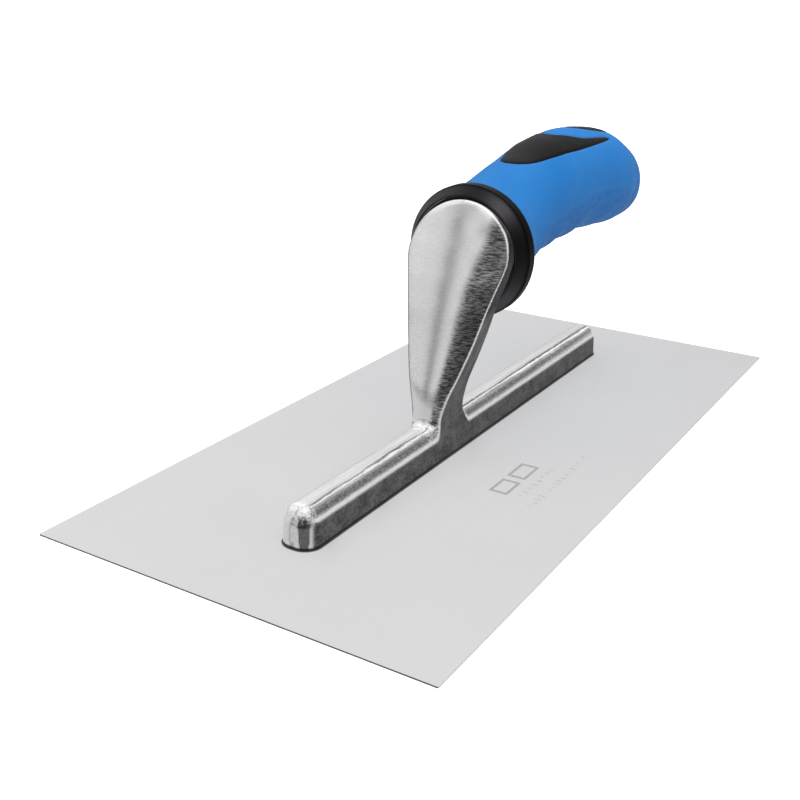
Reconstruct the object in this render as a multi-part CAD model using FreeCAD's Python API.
import FreeCAD, Part
import math
import os

# Steel finishing trowel. Millimetres, +Z up.
# Origin: centre of the blade's working (bottom) face.
# +X (front): toe of the blade, the end the post stands nearer to. The grip runs towards -X.
# The tool is symmetric about the XZ plane.

Vector = FreeCAD.Vector
DIAGONAL = math.sqrt(0.5)             # x and y of the middle of a unit quarter arc
OVERLAP = 0.01

# ---------------------------------------------------------------- driving dimensions
BLADE_LENGTH, BLADE_WIDTH, BLADE_THICK, BLADE_CORNER_R = 280.0, 135.0, 0.5, 0.4

RIVET_PITCH = 30.0
RIVET_X = [RIVET_PITCH * i for i in range(-3, 4)]
RIVET_HEAD_R, RIVET_SHANK_R, RIVET_TOP = 3.1, 2.0, 7.6
RIVET_NECK_R = RIVET_SHANK_R + 0.15   # small end of the countersunk head

# bar: half-widths at the foot and at the shoulder; the loft tapers up to BAR_LOFT_Z
BAR_HALF_LENGTH, BAR_FOOT_HALF_WIDTH, BAR_SHOULDER_HALF_WIDTH = 106.4, 6.2, 5.88
BAR_CORNER_R, BAR_SHOULDER_Z, BAR_CROWN_Z, BAR_TIP_R = 5.4, 9.3, 13.4, 4.6
BAR_LOFT_Z = 15.0
BAR_TAPER_X, BAR_TAPER_Y, BAR_TAPER_CORNER = 0.5, 0.17, 0.2

# post: height, x of the front edge, half-width of the front face
POST_EDGE = [
    (8.0, 31.5, 5.30), (12, 31.4, 5.32), (15, 31.3, 5.53), (20, 30.7, 6.44),
    (25, 29.4, 7.98), (30, 27.6, 9.66), (35, 25.7, 11.11), (40, 23.9, 12.42),
    (45, 22.2, 13.63), (50, 20.6, 14.75), (55, 18.8, 16.0), (60, 16.9, 17.23),
    (65, 14.9, 18.3)]
# crown line of the post's front face: height, x
POST_CROWN = [
    (6.0, 32.8), (12, 32.35), (15, 32.15), (20, 31.6), (25, 30.65), (30, 29.1),
    (35, 27.45), (40, 25.85), (45, 24.35), (50, 22.95), (55, 21.35), (60, 19.75),
    (65, 17.85), (70, 16.05), (75, 14.05), (80, 12.3), (84, 10.6), (90, 8.0)]
# back of the post: height, x
POST_BACK = [
    (8.0, 11.8), (12.5, 13.6), (16.0, 14.5), (50.0, 9.8), (54.0, 9.5), (60.0, 7.6),
    (90.0, 7.4)]
CROWN_SLOPE = 0.32                    # slope of the front face at its edges, across its width
POST_DRAFT = math.tan(math.radians(6.5))
DRAFT_START_Z, DRAFT_FADE = 9.0, 21.0  # the draft grows from nothing over this height
POST_LOFT_X = (6.0, 40.0)             # back and front planes of the drafted loft

# round head at the top of the post; its edge leans back as it rises
HEAD_Z, HEAD_R = 67.0, 18.85
HEAD_EDGE_X, HEAD_LEAN = 14.2, 4.4 / 19.0

AXIS_Z = 67.2                         # axis of collar and boss
BOSS_R, BOSS_BACK, BOSS_FRONT, BOSS_FLAT_DROP = 16.8, 7.0, 14.0, 15.5

TANG_TILT = math.radians(3.0)
TANG_ROOT_R, TANG_END_R, TANG_ROOT_X, TANG_END_X = 6.3, 4.9, 10.0, -84.0
TANG_DIR = Vector(-math.cos(TANG_TILT), 0, math.sin(TANG_TILT))
TANG_ROOT = Vector(TANG_ROOT_X, 0, AXIS_Z)
TANG_LENGTH = (TANG_ROOT_X - TANG_END_X) / math.cos(TANG_TILT)
THREAD_DEPTH = 24.0

COLLAR_BACK, COLLAR_RIM_FRONT, COLLAR_NOSE = 1.5, 5.4, 9.3
COLLAR_R, COLLAR_NOSE_R, COLLAR_BORE_R = 22.7, 19.75, 19.3
COLLAR_SEAT = BOSS_BACK - 0.1         # floor of the collar's front recess
COLLAR_HOLE_R = TANG_ROOT_R + 0.35

# grip: distance back from the collar, centre height, half-height, half-width
GRIP = [
    (0.0, 67.3, 21.6, 21.1), (5.0, 68.9, 19.9, 19.4), (12.0, 71.5, 18.5, 17.5),
    (30.0, 76.2, 18.1, 16.6), (50.0, 79.1, 19.3, 17.2), (70.0, 80.1, 19.5, 18.6),
    (90.0, 78.4, 19.6, 20.2), (108.0, 75.4, 17.2, 16.8), (122.0, 72.3, 13.8, 15.0),
    (130.0, 70.6, 13.0, 14.4)]
GRIP_X = COLLAR_BACK
GRIP_LENGTH = GRIP[-1][0]
CAP_LENGTH = 18.0                     # rounded butt end
CAP_START = GRIP_LENGTH - CAP_LENGTH
CAP_STATIONS = (0.3, 0.55, 0.75, 0.88, 0.96)   # fractions of the cap's length
CAP_POWER = 0.9
GRIP_STEP = 7.0                       # spacing of the cross-sections ahead of the cap
GRIP_POWER = 0.92                     # below 1 squares the cross-section slightly
SECTION_POINTS = 20

# finger ridges on the underside: distance back, half-length
RIDGES = [(37.0, 6.0), (55.0, 6.5), (77.0, 8.0)]
RIDGE_SHARPNESS = 1.6
GROOVE_DEPTH = 0.9
GROOVE_START, GROOVE_FADE_IN = 22, 10.0
GROOVE_END, GROOVE_FADE_OUT = 98, 12.0

SLEEVE_THICK, INLAY_THICK = 2.6, 1.6
# how far each skin of the grip stops short of the grip's length
OUTER_SHORT, INLAY_SHORT, CORE_SHORT = 0.12, 1.2, 4.0

# inlays, one half of each outline seen from above: distance back, y
PALM_OUTER_EDGE = [
    (24.2, 0.0), (24.4, 1.8), (25.5, 3.8), (27.4, 5.5), (30.2, 6.8), (34.2, 8.0),
    (38.5, 9.1), (43.7, 10.3), (51.6, 11.4), (59.8, 12.3), (69.1, 12.9), (75.6, 13.0),
    (81.2, 12.8), (85.4, 12.2)]
PALM_INNER_EDGE = [
    (86.0, 11.5), (83.9, 11.0), (79.7, 10.7), (74.8, 10.4), (70.4, 9.8), (66.9, 9.0),
    (63.4, 7.3), (60.6, 4.8), (58.4, 2.6), (57.2, 0.0)]
REAR_EDGE = [
    (75.0, 0.0), (75.6, 1.8), (77.2, 3.4), (80.2, 5.2), (84.0, 6.3), (88.5, 7.1),
    (94.0, 7.4), (99.5, 7.0), (104.0, 5.7), (107.4, 3.4), (109.0, 0.0)]
INLAY_EDGE_POINTS = 40
INLAY_CUT_Z, INLAY_CUT_HEIGHT = 80.0, 40.0

SCREW_R, SCREW_LENGTH, SCREW_HEAD_R, SCREW_HEAD_HEIGHT = 2.5, 26.0, 4.6, 4.0
SOCKET_R, SOCKET_DEPTH = 2.1, 2.6
SOCKET_START = 1.5                    # from the underside of the screw head
WASHER_R, WASHER_THICK, WASHER_GAP = 6.2, 1.2, 6.0   # gap: tang end to washer
PLUG_R, PLUG_WALL, PLUG_RECESS, PLUG_OFFSET = 6.6, 1.6, 6.0, 18.0
BORE_CLEARANCE = 0.02
CUTTER_LENGTH = 60.0                  # long enough to leave the butt end

TANG_END = TANG_ROOT + TANG_DIR * TANG_LENGTH
WASHER_AT = TANG_ROOT + TANG_DIR * (TANG_LENGTH + WASHER_GAP)


# ---------------------------------------------------------------- helpers
def save(shape, name):
    shape.exportStep("parts/" + name + ".step")


def clamp(value):
    return max(0.0, min(1.0, value))


def interpolate(table, column, at):
    """Monotone cubic value of a table's column; column 0 is the position."""
    xs = [row[0] for row in table]
    ys = [row[column] for row in table]
    if at <= xs[0]:
        return ys[0]
    if at >= xs[-1]:
        return ys[-1]
    chords = [(ys[i + 1] - ys[i]) / (xs[i + 1] - xs[i]) for i in range(len(xs) - 1)]
    slopes = [chords[0]]
    for before, after in zip(chords, chords[1:]):
        turning = before * after <= 0
        slopes.append(0.0 if turning else 2 * before * after / (before + after))
    slopes.append(chords[-1])
    i = max(j for j in range(len(chords)) if xs[j] <= at)
    span = xs[i + 1] - xs[i]
    t = (at - xs[i]) / span
    return ((2 * t**3 - 3 * t**2 + 1) * ys[i] + (t**3 - 2 * t**2 + t) * span * slopes[i]
            + (-2 * t**3 + 3 * t**2) * ys[i + 1] + (t**3 - t**2) * span * slopes[i + 1])


def arc(start, middle, end):
    return Part.Arc(start, middle, end).toShape()


def lines(points):
    """Straight edges through the points, left open."""
    return [Part.makeLine(start, end) for start, end in zip(points, points[1:])]


def closed_polygon(points):
    return Part.Face(Part.makePolygon(points + [points[0]]))


def cylinder(radius, length, base, direction=TANG_DIR):
    return Part.makeCylinder(radius, length, base, direction)


def rounded_rect(half_x, half_y, radius, z):
    """Closed wire: rectangle with rounded corners at height z."""
    inset = radius - radius * DIAGONAL
    arcs = []
    for sx, sy in [(1, -1), (1, 1), (-1, 1), (-1, -1)]:
        on_long = Vector(sx * (half_x - radius), sy * half_y, z)
        on_short = Vector(sx * half_x, sy * (half_y - radius), z)
        middle = Vector(sx * (half_x - inset), sy * (half_y - inset), z)
        forward = sx * sy < 0
        arcs.append((on_long, middle, on_short) if forward else (on_short, middle, on_long))
    edges = []
    for i, points in enumerate(arcs):
        edges.append(arc(*points))
        edges.append(Part.makeLine(points[2], arcs[(i + 1) % 4][0]))
    return Part.Wire(edges)


# ---------------------------------------------------------------- blade and rivets
def rivet_head(x):
    """Countersunk head, flush with the working face."""
    return Part.makeCone(RIVET_HEAD_R, RIVET_NECK_R, BLADE_THICK, Vector(x, 0, 0),
                         Vector(0, 0, 1))


def make_blade():
    outline = rounded_rect(BLADE_LENGTH / 2, BLADE_WIDTH / 2, BLADE_CORNER_R, 0)
    blade = Part.Face(outline).extrude(Vector(0, 0, BLADE_THICK))
    for x in RIVET_X:
        blade = blade.cut(rivet_head(x))
    return blade


def make_rivets():
    rivets = []
    for x in RIVET_X:
        shank = cylinder(RIVET_SHANK_R, RIVET_TOP - BLADE_THICK + OVERLAP,
                         Vector(x, 0, BLADE_THICK - OVERLAP), Vector(0, 0, 1))
        rivets.append(rivet_head(x).fuse(shank).removeSplitter())
    return Part.makeCompound(rivets)


# ---------------------------------------------------------------- spine casting
def arch_prism():
    """Cross-section of the bar with its arched top, drawn out along X past both ends."""
    reach, side = 120, 9
    shoulder, shoulder_z = BAR_SHOULDER_HALF_WIDTH, BAR_SHOULDER_Z

    def at(y, z):
        return Vector(-reach, y, z)

    arch = [arc(at(-shoulder, shoulder_z), at(0, BAR_CROWN_Z), at(shoulder, shoulder_z))]
    arch += lines([
        at(shoulder, shoulder_z), at(side, shoulder_z - 0.01), at(side, 0), at(-side, 0),
        at(-side, shoulder_z - 0.01), at(-shoulder, shoulder_z)])
    return Part.Face(Part.Wire(arch)).extrude(Vector(2 * reach, 0, 0))


def rollover_prism():
    """Side view of the bar, with the top rolled over at both ends, drawn out along Y."""
    side = 10
    end, top, radius = BAR_HALF_LENGTH, BAR_CROWN_Z + 0.01, BAR_TIP_R
    outside, spring = end + 1, top - radius
    mid_x, mid_z = end - radius + radius * DIAGONAL, spring + radius * DIAGONAL

    def at(x, z):
        return Vector(x, -side, z)

    edges = lines([at(-outside, 0), at(outside, 0), at(outside, spring), at(end, spring)])
    edges.append(arc(at(end, spring), at(mid_x, mid_z), at(end - radius, top)))
    edges += lines([at(end - radius, top), at(-end + radius, top)])
    edges.append(arc(at(-end + radius, top), at(-mid_x, mid_z), at(-end, spring)))
    edges += lines([at(-end, spring), at(-outside, spring), at(-outside, 0)])
    return Part.Face(Part.Wire(edges)).extrude(Vector(0, 2 * side, 0))


def make_bar():
    foot = rounded_rect(BAR_HALF_LENGTH, BAR_FOOT_HALF_WIDTH, BAR_CORNER_R, BLADE_THICK)
    top = rounded_rect(BAR_HALF_LENGTH - BAR_TAPER_X, BAR_SHOULDER_HALF_WIDTH - BAR_TAPER_Y,
                       BAR_CORNER_R - BAR_TAPER_CORNER, BAR_LOFT_Z)
    bar = Part.makeLoft([foot, top], True, True)
    return bar.common(arch_prism()).common(rollover_prism())


def head_edge(degrees):
    """Point on the round head's front edge: x, half-width, z."""
    rise = HEAD_R * math.sin(math.radians(degrees))
    return HEAD_EDGE_X - HEAD_LEAN * rise, HEAD_R * math.cos(math.radians(degrees)), HEAD_Z + rise


def teardrop_wire(plane_x):
    """The post's front outline, carried along the drafted sides to x = plane_x."""
    outline = [(x, half_width, z) for z, x, half_width in POST_EDGE]
    outline += [head_edge(degrees) for degrees in range(6, 90, 12)]
    # the round top moves with the draft too
    apex_x, _, apex_z = head_edge(90)
    top_z = apex_z - (apex_x - plane_x) * POST_DRAFT
    right = []
    for x, half_width, z in outline:
        draft = POST_DRAFT * clamp((z - DRAFT_START_Z) / DRAFT_FADE)
        if z < top_z - 0.3:
            right.append(Vector(plane_x, max(0.0, half_width - (x - plane_x) * draft), z))
    left = [Vector(p.x, -p.y, p.z) for p in reversed(right)]
    curve = Part.BSplineCurve()
    curve.interpolate(Points=right + [Vector(plane_x, 0, top_z)] + left)
    return Part.Wire([curve.toShape(), Part.makeLine(left[-1], right[0])])


def crowned_block():
    """Block behind the front face, which falls away to both sides as a parabola."""
    widths = [(z, half_width) for z, _, half_width in POST_EDGE] + [(HEAD_Z, HEAD_R)]
    rows = []
    for i in range(18):
        z = 5.0 + 5.0 * i
        crown_x = interpolate(POST_CROWN, 1, z)
        half_width = interpolate(widths, 1, z)
        rows.append([Vector(crown_x - CROWN_SLOPE * y * y / (2 * half_width), y, z)
                     for y in [-24.0 + 4.0 * j for j in range(13)]])
    surface = Part.BSplineSurface()
    surface.interpolate(rows)
    return surface.toShape().extrude(Vector(-60, 0, 0))


def make_post(crown):
    """Drafted teardrop, cut by the back profile and by the crowned front."""
    post = Part.makeLoft([teardrop_wire(x) for x in POST_LOFT_X], True, True)
    profile = [Vector(x, -30, z) for z, x in POST_BACK]
    profile += [Vector(60, -30, POST_BACK[-1][0]), Vector(60, -30, POST_BACK[0][0])]
    return post.common(closed_polygon(profile).extrude(Vector(0, 60, 0))).common(crown)


def make_boss(crown):
    """Round boss behind the head, with a flat underneath."""
    boss = cylinder(BOSS_R, BOSS_FRONT - BOSS_BACK, Vector(BOSS_BACK, 0, AXIS_Z),
                    Vector(1, 0, 0))
    above_flat = Part.makeBox(14.0, 60, 60, Vector(BOSS_BACK - 1, -30, AXIS_Z - BOSS_FLAT_DROP))
    return boss.common(above_flat).common(crown)


def make_casting():
    """Bar, post, head, boss and tang in one aluminium casting."""
    crown = crowned_block()
    tang = Part.makeCone(TANG_ROOT_R, TANG_END_R, TANG_LENGTH, TANG_ROOT, TANG_DIR)
    casting = make_bar().fuse([make_post(crown), make_boss(crown), tang])
    for x in RIVET_X:
        casting = casting.cut(
            cylinder(RIVET_SHANK_R, RIVET_TOP, Vector(x, 0, 0), Vector(0, 0, 1)))
    # threaded end of the tang, drawn as a plain hole
    return casting.cut(cylinder(SCREW_R + 0.01, THREAD_DEPTH, TANG_END - TANG_DIR * THREAD_DEPTH))


# ---------------------------------------------------------------- collar
def make_collar():
    """Ring between the head and the grip, turned about the collar axis."""
    profile = [                       # x, radius
        (COLLAR_BACK, COLLAR_HOLE_R), (COLLAR_BACK, COLLAR_R - 0.5),
        (COLLAR_BACK + 0.4, COLLAR_R), (COLLAR_RIM_FRONT, COLLAR_R),
        (COLLAR_RIM_FRONT + 0.5, COLLAR_R - 0.25), (COLLAR_NOSE - 0.3, COLLAR_NOSE_R + 0.1),
        (COLLAR_NOSE, COLLAR_NOSE_R - 0.3), (COLLAR_NOSE, COLLAR_BORE_R + 0.2),
        (COLLAR_NOSE - 0.3, COLLAR_BORE_R), (COLLAR_SEAT, COLLAR_BORE_R),
        (COLLAR_SEAT, COLLAR_HOLE_R)]
    face = closed_polygon([Vector(x, 0, AXIS_Z + radius) for x, radius in profile])
    return face.revolve(Vector(0, 0, AXIS_Z), Vector(1, 0, 0), 360)


# ---------------------------------------------------------------- grip
def ridge_height(back):
    """Height of the finger ridges above the grooves, 0..1."""
    return max(math.exp(-((back - centre) / half_length) ** 2 * RIDGE_SHARPNESS)
               for centre, half_length in RIDGES)


def grip_section(back, inset):
    """Cross-section at a distance back, shrunk by inset and by the rounding of the cap."""
    centre_z, half_height, half_width = [interpolate(GRIP, k, back) for k in (1, 2, 3)]
    along_cap = max(0.0, (back - CAP_START) / CAP_LENGTH)
    cap = math.sqrt(1 - along_cap ** 2) ** CAP_POWER
    zone = (clamp((back - GROOVE_START) / GROOVE_FADE_IN)
            * clamp((GROOVE_END - back) / GROOVE_FADE_OUT))
    points = []
    for i in range(SECTION_POINTS):
        angle = 2 * math.pi * i / SECTION_POINTS
        across, up = math.cos(angle), math.sin(angle)
        y = half_width * math.copysign(abs(across) ** GRIP_POWER, across)
        z = half_height * math.copysign(abs(up) ** GRIP_POWER, up)
        underside = clamp((-up - 0.25) / 0.5)
        groove = GROOVE_DEPTH * zone * underside * (1 - ridge_height(back))
        radius = math.hypot(y, z)
        scale = (radius - groove - inset) / radius * cap
        points.append(Vector(GRIP_X - back, y * scale, centre_z + z * scale))
    # every section gets the same knots, so that the loft stays light
    curve = Part.BSplineCurve()
    curve.interpolate(Points=points, PeriodicFlag=True,
                      Parameters=[float(i) for i in range(len(points) + 1)])
    return Part.Wire([curve.toShape()])


def grip_solid(end, inset):
    stations = [GRIP_STEP * i for i in range(int(CAP_START / GRIP_STEP) + 1)]
    on_cap = [CAP_START + CAP_LENGTH * fraction for fraction in CAP_STATIONS]
    stations += [back for back in on_cap if back < end - 0.3] + [end]
    return Part.makeLoft([grip_section(back, inset) for back in stations], True, False)


def smooth(table):
    """More points along an edge table, so that the cut edge is a smooth curve."""
    curve = Part.BSplineCurve()
    curve.interpolate(Points=[Vector(back, y, 0) for back, y in table])
    return [(p.x, p.y) for p in curve.discretize(Number=INLAY_EDGE_POINTS)]


def inlay_prism(half_outline):
    """Upright prism; the half outline starts and ends on y = 0 and is mirrored."""
    points = [Vector(GRIP_X - back, y, INLAY_CUT_Z) for back, y in half_outline]
    points += [Vector(p.x, -p.y, p.z) for p in reversed(points[1:-1])]
    return closed_polygon(points).extrude(Vector(0, 0, INLAY_CUT_HEIGHT))


def make_core(core, well):
    bore = Part.makeCone(TANG_ROOT_R + BORE_CLEARANCE, TANG_END_R + BORE_CLEARANCE,
                         TANG_LENGTH, TANG_ROOT, TANG_DIR)
    end_gap = cylinder(TANG_END_R + BORE_CLEARANCE, 0.6,
                       TANG_ROOT + TANG_DIR * (TANG_LENGTH - OVERLAP))
    screw_hole = cylinder(SCREW_R + 0.3, CUTTER_LENGTH, WASHER_AT - TANG_DIR * 20.0)
    return core.cut(bore).cut(end_gap).cut(screw_hole).cut(well)


# ---------------------------------------------------------------- butt end, on the tang's axis
def make_screw():
    head_at = WASHER_AT + TANG_DIR * WASHER_THICK
    shank = cylinder(SCREW_R, SCREW_LENGTH, head_at, TANG_DIR * -1.0)
    head = cylinder(SCREW_HEAD_R, SCREW_HEAD_HEIGHT, head_at)
    socket = cylinder(SOCKET_R, SOCKET_DEPTH, head_at + TANG_DIR * SOCKET_START)
    return shank.fuse(head).removeSplitter().cut(socket)


def make_washer():
    hole = cylinder(SCREW_R + 0.2, 3.0, WASHER_AT - TANG_DIR)
    return cylinder(WASHER_R, WASHER_THICK, WASHER_AT).cut(hole)


def make_plug(outer):
    """Plug trimmed to the grip's outer surface, recessed on its inner end."""
    start = WASHER_AT + TANG_DIR * PLUG_OFFSET
    plug = cylinder(PLUG_R - BORE_CLEARANCE, CUTTER_LENGTH, start).common(outer)
    return plug.cut(cylinder(PLUG_R - PLUG_WALL, PLUG_RECESS, start))


# ---------------------------------------------------------------- build
os.makedirs("parts", exist_ok=True)

save(make_blade(), "blade")
save(make_rivets(), "blade_rivets")
save(make_casting(), "spine_casting")
save(make_collar(), "collar_ring")

outer = grip_solid(GRIP_LENGTH - OUTER_SHORT, 0.0)
under_inlay = grip_solid(GRIP_LENGTH - INLAY_SHORT, INLAY_THICK)
core = grip_solid(GRIP_LENGTH - CORE_SHORT, SLEEVE_THICK)
well = cylinder(PLUG_R, CUTTER_LENGTH, WASHER_AT)

rind = outer.cut(under_inlay)
palm_inlay = rind.common(inlay_prism(smooth(PALM_OUTER_EDGE) + smooth(PALM_INNER_EDGE)))
rear_inlay = rind.common(inlay_prism(smooth(REAR_EDGE)))
save(palm_inlay, "palm_inlay")
save(rear_inlay, "rear_inlay")

save(make_screw(), "retaining_screw")
save(make_washer(), "retaining_washer")
save(make_core(core, well), "handle_core")
save(outer.cut(core).cut(palm_inlay).cut(rear_inlay).cut(well), "grip_sleeve")
save(make_plug(outer), "end_plug")
